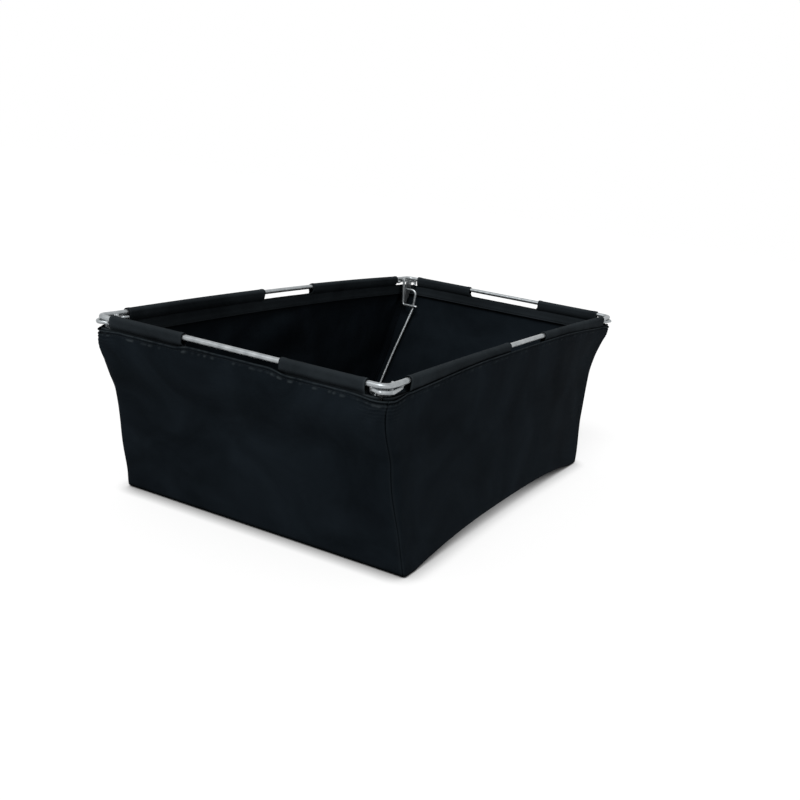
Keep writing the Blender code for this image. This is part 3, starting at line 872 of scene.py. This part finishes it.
def build_base():
    """The bag's floor cloth, sagging a little between the leg frames' bars."""
    inset = BOTTOM_RADIUS
    share_y = np.linspace(-1.0, 1.0, BASE_COLUMNS)
    share_x = np.linspace(-1.0, 1.0, BASE_ROWS)
    along = share_y * (FLOOR_LENGTH / 2.0 - inset)
    edges = ARCH_MIDDLE_SHARE + (1.0 - ARCH_MIDDLE_SHARE) * share_x[:, None] ** 2
    rise = arch(share_y * FLOOR_LENGTH / 2.0)[None, :] * edges
    across = share_x[:, None] * (bag_half(True, rise) - inset)
    pushed = smooth_share((-along - 0.15) / 0.12)
    across = across - front_left_push(rise) * pushed * smooth_share(-share_x)[:, None] ** 2
    level = np.zeros(across.shape)
    flat = np.stack((across, np.repeat(along[None, :], BASE_ROWS, axis=0), level), axis=-1)
    folds = ripples(flat.reshape(-1, 3), 16.0, 60.0).reshape(across.shape)
    room = np.clip(rise / 0.004, 0.0, 1.0)
    height = CLOTH + 0.0002 + rise + np.clip(folds * 0.0012, -0.0006, 0.0012) * room
    points = np.stack((across, flat[..., 1], height), axis=-1)
    base = grid_mesh("floor_cloth", points, flat[..., :2], level, WALL_CLOTH, flip=True)
    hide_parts("base_panel")


def filleted(points, bends, cyclic=False):
    """The path through the points, with each inner corner rounded to its bend radius."""
    path = []
    count = len(points)
    for index, point in enumerate(points):
        radius = bends[index]
        if radius == 0.0 or (not cyclic and index in (0, count - 1)):
            path.append(point.copy())
            continue
        into = (point - points[index - 1]).normalized()
        out = (points[(index + 1) % count] - point).normalized()
        turn = into.angle(out)
        reach = radius * math.tan(turn / 2.0)
        start = point - into * reach
        centre = start + (out - into * into.dot(out)).normalized() * radius
        spoke = start - centre
        for step in range(BEND_STEPS + 1):
            angle = turn * step / BEND_STEPS
            path.append(centre + spoke * math.cos(angle) + into * radius * math.sin(angle))
    return path


def tube(name, path, thickness, surface, body, cyclic=False):
    """A round wire along the path, with sheared ends whose edges are slightly rounded."""
    path = np.array([tuple(place) for place in path])
    radius = thickness / 2.0
    if cyclic:
        tangents = np.roll(path, -1, axis=0) - np.roll(path, 1, axis=0)
    else:
        tangents = np.gradient(path, axis=0)
    tangents /= np.linalg.norm(tangents, axis=1)[:, None]
    normal = np.cross(tangents[0], (0.0, 0.0, 1.0))
    if np.linalg.norm(normal) < 0.1:
        normal = np.cross(tangents[0], (1.0, 0.0, 0.0))
    normal /= np.linalg.norm(normal)
    angles = np.linspace(0.0, 2.0 * math.pi, WIRE_SIDES, endpoint=False)
    rings = []
    for place, tangent in zip(path, tangents):
        normal = normal - tangent * normal.dot(tangent)
        normal /= np.linalg.norm(normal)
        side = np.cross(tangent, normal)
        circle = np.cos(angles)[:, None] * normal + np.sin(angles)[:, None] * side
        rings.append((place, circle, tangent))
    head, tail = [], []
    if not cyclic:
        chamfer = radius * WIRE_CHAMFER
        for index, sign, edge in ((0, 1.0, head), (-1, -1.0, tail)):
            place, circle, tangent = rings[index]
            inward = tangent * sign
            edge.append(place + circle * (radius - chamfer))
            edge.append(place + inward * chamfer * 0.3 + circle * (radius - chamfer * 0.3))
            rings[index] = (place + inward * chamfer, circle, tangent)
    loops = head + [place + circle * radius for place, circle, _ in rings] + tail[::-1]
    mesh = bpy.data.meshes.new(name)
    vertices = np.concatenate(loops).tolist()
    mesh.from_pydata(vertices, [], tube_faces(0, len(loops), WIRE_SIDES, cyclic))
    piece = add_piece(name, mesh, surface, body)
    mesh.set_sharp_from_angle(angle=math.radians(50.0))
    return piece


def refine(path, longest):
    """The path with points added so that no step is longer than this."""
    out = [path[0]]
    for start, finish in zip(path, path[1:]):
        count = max(1, math.ceil((finish - start).length / longest))
        out += [start.lerp(finish, step / count) for step in range(1, count + 1)]
    return out


def build_ring():
    """The closed wire ring at the rim."""
    half_x = RING_WIDTH / 2.0
    half_y = RING_LENGTH / 2.0
    turns = ((-1, -1), (1, -1), (1, 1), (-1, 1))
    corners = [Vector((sx * half_x, sy * half_y, RING_HEIGHT)) for sx, sy in turns]
    path = filleted(corners, [RING_BEND] * 4, cyclic=True)
    path = lift_rim([tuple(place) for place in refine(path + [path[0]], 0.02)[:-1]])
    ring = tube("ring", path, RING_WIRE, ZINC_WIRE, "basket", cyclic=True)
    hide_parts("ring_frame")


def ring_corner(sign_x, sign_y):
    """Turns distances in from a corner and drops below the ring into places."""
    def place(from_side, from_end, drop):
        return Vector((
            sign_x * (RING_WIDTH / 2.0 - from_side),
            sign_y * (RING_LENGTH / 2.0 - from_end),
            RING_HEIGHT - drop,
        ))
    return place


def build_corner_wire(label):
    """Bent wire welded under the ring: inside along the long side, round the corner outside, tucked in."""
    place = ring_corner(*CORNERS[label])
    under = RING_WIRE / 2.0 + FITTING_WIRE / 2.0
    control = [
        place(CORNER_WIRE_TUCK, CORNER_WIRE_TIP, CORNER_WIRE_TUCK),
        place(CORNER_WIRE_TUCK, CORNER_WIRE_CROSSING + CORNER_WIRE_SLANT, CORNER_WIRE_TUCK),
        place(0.0, CORNER_WIRE_CROSSING, under),
    ]
    radius = RING_BEND + CORNER_WIRE_OUTSET
    for step in range(6):
        angle = math.radians(CORNER_WIRE_SWEEP) * step / 5
        from_side = RING_BEND - radius * math.cos(angle)
        from_end = RING_BEND - radius * math.sin(angle)
        control.append(place(from_side, from_end, CORNER_WIRE_DROP))
    control.append(place(CORNER_WIRE_TURN_IN, 0.0, under))
    end_side = CORNER_WIRE_TURN_IN + FITTING_WIRE / 2.0
    control.append(place(end_side, CORNER_WIRE_END_INSET, CORNER_WIRE_END_DROP))
    path = smooth_path([tuple(point) for point in control], 6)
    piece = tube(f"{label}_corner_wire", path, FITTING_WIRE, ZINC_WIRE, "basket")
    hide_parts(f"corner_wire_{label}")


def build_latch_wire(label):
    """Bent wire welded inside the ring: down beside the long side, then in, as the catch of the leg."""
    place = ring_corner(*CORNERS[label])
    beside = RING_WIRE / 2.0 + FITTING_WIRE / 2.0
    points = [
        place(beside, LATCH_FROM_CORNER, -0.001),
        place(LATCH_INSET, LATCH_FROM_CORNER, LATCH_DROP),
        place(LATCH_REACH, LATCH_FROM_CORNER, LATCH_DROP),
    ]
    path = refine(filleted(points, [0.0, LATCH_BEND, 0.0]), 0.006)
    piece = tube(f"{label}_latch_wire", path, FITTING_WIRE, ZINC_WIRE, "basket")
    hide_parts(f"latch_wire_{label}")


def build_leg(label, sign_y, body):
    """U-shaped wire leg: axle end, hook, leg, floor bar, leg, hook and axle end."""
    pivot_y = sign_y * (RING_LENGTH / 2.0 - PIVOT_FROM_END)
    pivot_z = RING_HEIGHT - PIVOT_DROP
    axle_end = RING_WIDTH / 2.0 - LATCH_INSET + PLATE_THICKNESS / 2.0 + AXLE_PAST_PLATE
    leg_x = RING_WIDTH / 2.0 - LEG_FROM_SIDE
    latch_y = RING_LENGTH / 2.0 - LATCH_FROM_CORNER
    knee_y = sign_y * (latch_y + FITTING_WIRE / 2.0 + LEG_WIRE / 2.0 + LEG_LATCH_GAP)
    knee_z = RING_HEIGHT - LATCH_DROP - FITTING_WIRE
    bar_x = FLOOR_WIDTH / 2.0 - LEG_BAR_FROM_SIDE
    bar_y = sign_y * (FLOOR_LENGTH / 2.0 - LEG_BAR_FROM_END)
    half = [
        Vector((axle_end, pivot_y, pivot_z)),
        Vector((leg_x, pivot_y, pivot_z)),
        Vector((leg_x, knee_y, knee_z)),
        Vector((bar_x, bar_y, LEG_BAR_HEIGHT)),
    ]
    other = [Vector((-point.x, point.y, point.z)) for point in reversed(half)]
    bends = [0.0, LEG_HOOK_BEND, LEG_FOOT_BEND, LEG_FOOT_BEND]
    path = refine(filleted(half + other, bends + bends[::-1]), 0.015)
    for place in path:
        share = place.z - LEG_BAR_HEIGHT - LEG_BOW_ABOVE_BAR
        share = share / (knee_z - LEG_BAR_HEIGHT - LEG_BOW_MARGINS)
        if 0.0 < share < 1.0:
            place.x += math.copysign(LEG_BOW * math.sin(math.pi * share) ** 2, place.x)
    piece = tube(f"{label}_leg", path, LEG_WIRE, ZINC_WIRE, body)
    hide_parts(f"leg_frame_{label}")


def dress_plates():
    """The pivot plates keep their shape and get soft edges and their own finish."""
    for label in CORNERS:
        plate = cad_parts[f"pivot_plate_{label}"]
        plate.data.materials.clear()
        plate.data.materials.append(ZINC_SHEET)
        edge = plate.modifiers.new("soft edge", "BEVEL")
        edge.width = 0.00025
        edge.segments = 2
        edge.limit_method = "ANGLE"


def build_welds(label):
    """Weld beads where a corner's wires and plate meet the ring."""
    place = ring_corner(*CORNERS[label])
    # Inset from the long side, inset from the short side, drop below the ring, and size
    beads = (
        (0.0005, CORNER_WIRE_CROSSING, 0.0030, 0.0022),
        (0.0012, CORNER_WIRE_CROSSING + 0.004, 0.0030, 0.0019),
        (CORNER_WIRE_TURN_IN, 0.0004, 0.0030, 0.0022),
        (0.0030, LATCH_FROM_CORNER, 0.0008, 0.0023),
        (0.0033, LATCH_FROM_CORNER, 0.0028, 0.0019),
    )
    vertices = []
    faces = []
    rows = 8
    sides = 14
    for number, (from_side, from_end, drop, size) in enumerate(beads):
        centre = place(from_side, from_end, drop)
        first = len(vertices)
        for row in range(1, rows):
            polar = math.pi * row / rows
            for step in range(sides):
                turn = 2.0 * math.pi * step / sides
                flat = math.sin(polar)
                way = Vector((flat * math.cos(turn), flat * math.sin(turn), math.cos(polar)))
                offset = Vector((number * 5.1, centre.x * 90.0, centre.y * 40.0))
                swell = 1.0 + 0.16 * noise.noise(way * 1.7 + offset)
                squat = Vector((way.x * 1.25, way.y * 1.25, way.z * 0.8))
                vertices.append(tuple(centre + squat * size * swell))
        top = len(vertices)
        vertices.append(tuple(centre + Vector((0.0, 0.0, size * 0.8))))
        vertices.append(tuple(centre - Vector((0.0, 0.0, size * 0.8))))
        last = first + (rows - 2) * sides
        for upper in range(first, last, sides):
            lower = upper + sides
            for step in range(sides):
                following = (step + 1) % sides
                faces.append((upper + step, lower + step, lower + following, upper + following))
        for step in range(sides):
            following = (step + 1) % sides
            faces.append((top, first + step, first + following))
            faces.append((top + 1, last + following, last + step))
    mesh = bpy.data.meshes.new(f"{label}_welds")
    mesh.from_pydata(vertices, [], faces)
    add_piece(f"{label}_welds", mesh, WELD, "basket")


def make_floor():
    """A pale floor that stays white round the box and keeps its soft shadow, with a painted contact shadow
    in the glow that the camera sees.
    """
    mesh = bpy.data.meshes.new("floor")
    corners = ((-1.0, -1.0), (1.0, -1.0), (1.0, 1.0), (-1.0, 1.0))
    mesh.from_pydata([(x * FLOOR_HALF, y * FLOOR_HALF, 0.0) for x, y in corners], [], [(0, 1, 2, 3)])
    surface, nodes, links, shader = new_material("pale_floor")
    shader.inputs["Base Color"].default_value = FLOOR_COLOUR
    shader.inputs["Roughness"].default_value = 0.9
    shader.inputs["Specular IOR Level"].default_value = 0.0
    # Painted shadow: ambient occlusion darkens the floor's glow near the box
    contact_shadow_ao = add_node(nodes, "ShaderNodeAmbientOcclusion", Distance=CONTACT_SHADOW)
    tint = ramp(nodes, [(0.20, (0.02, 0.02, 0.02)), (0.92, (1.0, 1.0, 1.0))])
    links.new(contact_shadow_ao.outputs["AO"], tint.inputs["Fac"])
    glow = add_node(nodes, "ShaderNodeEmission", Strength=1.0)
    links.new(tint.outputs["Color"], glow.inputs["Color"])
    path = nodes.new("ShaderNodeLightPath")
    seen = math_node(nodes, links, "MAXIMUM", path.outputs["Is Camera Ray"], path.outputs["Is Glossy Ray"])
    mix = nodes.new("ShaderNodeMixShader")
    links.new(math_node(nodes, links, "MULTIPLY", seen, FLOOR_GLOW), mix.inputs["Fac"])
    links.new(shader.outputs["BSDF"], mix.inputs[1])
    links.new(glow.outputs["Emission"], mix.inputs[2])
    links.new(mix.outputs["Shader"], nodes["Material Output"].inputs["Surface"])
    mesh.materials.append(surface)
    add_object("floor", mesh)


def make_light():
    """A white surround, two soft square lamps and a wide soft sun."""
    world = bpy.data.worlds.new("surround")
    bpy.context.scene.world = world
    world.use_nodes = True
    nodes = world.node_tree.nodes
    links = world.node_tree.links
    path = nodes.new("ShaderNodeLightPath")
    seen = math_node(nodes, links, "MAXIMUM", path.outputs["Is Camera Ray"], path.outputs["Is Glossy Ray"])
    seen = math_node(nodes, links, "MAXIMUM", seen, path.outputs["Is Transmission Ray"])
    strength = add_node(nodes, "ShaderNodeMapRange")
    strength.inputs["To Min"].default_value = SURROUND_LIGHT
    strength.inputs["To Max"].default_value = 1.0
    links.new(seen, strength.inputs["Value"])
    links.new(strength.outputs["Result"], nodes["Background"].inputs["Strength"])
    nodes["Background"].inputs["Color"].default_value = (1.0, 1.0, 1.0, 1.0)
    for name, (place, power) in LAMPS.items():
        data = bpy.data.lights.new(name, "AREA")
        data.energy = power
        data.size = LAMP_SIZE
        lamp = add_object(name, data)
        lamp.location = place
        aim = Vector(LAMP_TARGET) - Vector(place)
        lamp.rotation_euler = aim.to_track_quat("-Z", "Y").to_euler()
    sun = bpy.data.lights.new("sun", "SUN")
    sun.energy = SUN_STRENGTH
    sun.angle = math.radians(SUN_SPREAD)
    add_object("sun", sun).rotation_euler = Vector(SUN_WAY).to_track_quat("-Z", "Y").to_euler()
    bpy.context.scene.view_settings.view_transform = "Standard"


make_camera()
make_floor()
make_light()
build_ring()
for corner_label in CORNERS:
    build_corner_wire(corner_label)
    build_latch_wire(corner_label)
    build_welds(corner_label)
dress_plates()
build_leg("front", -1.0, "front_legs")
build_leg("rear", 1.0, "rear_legs")
for side_label in SIDES:
    build_wall(side_label)
    build_band(side_label)
build_base()
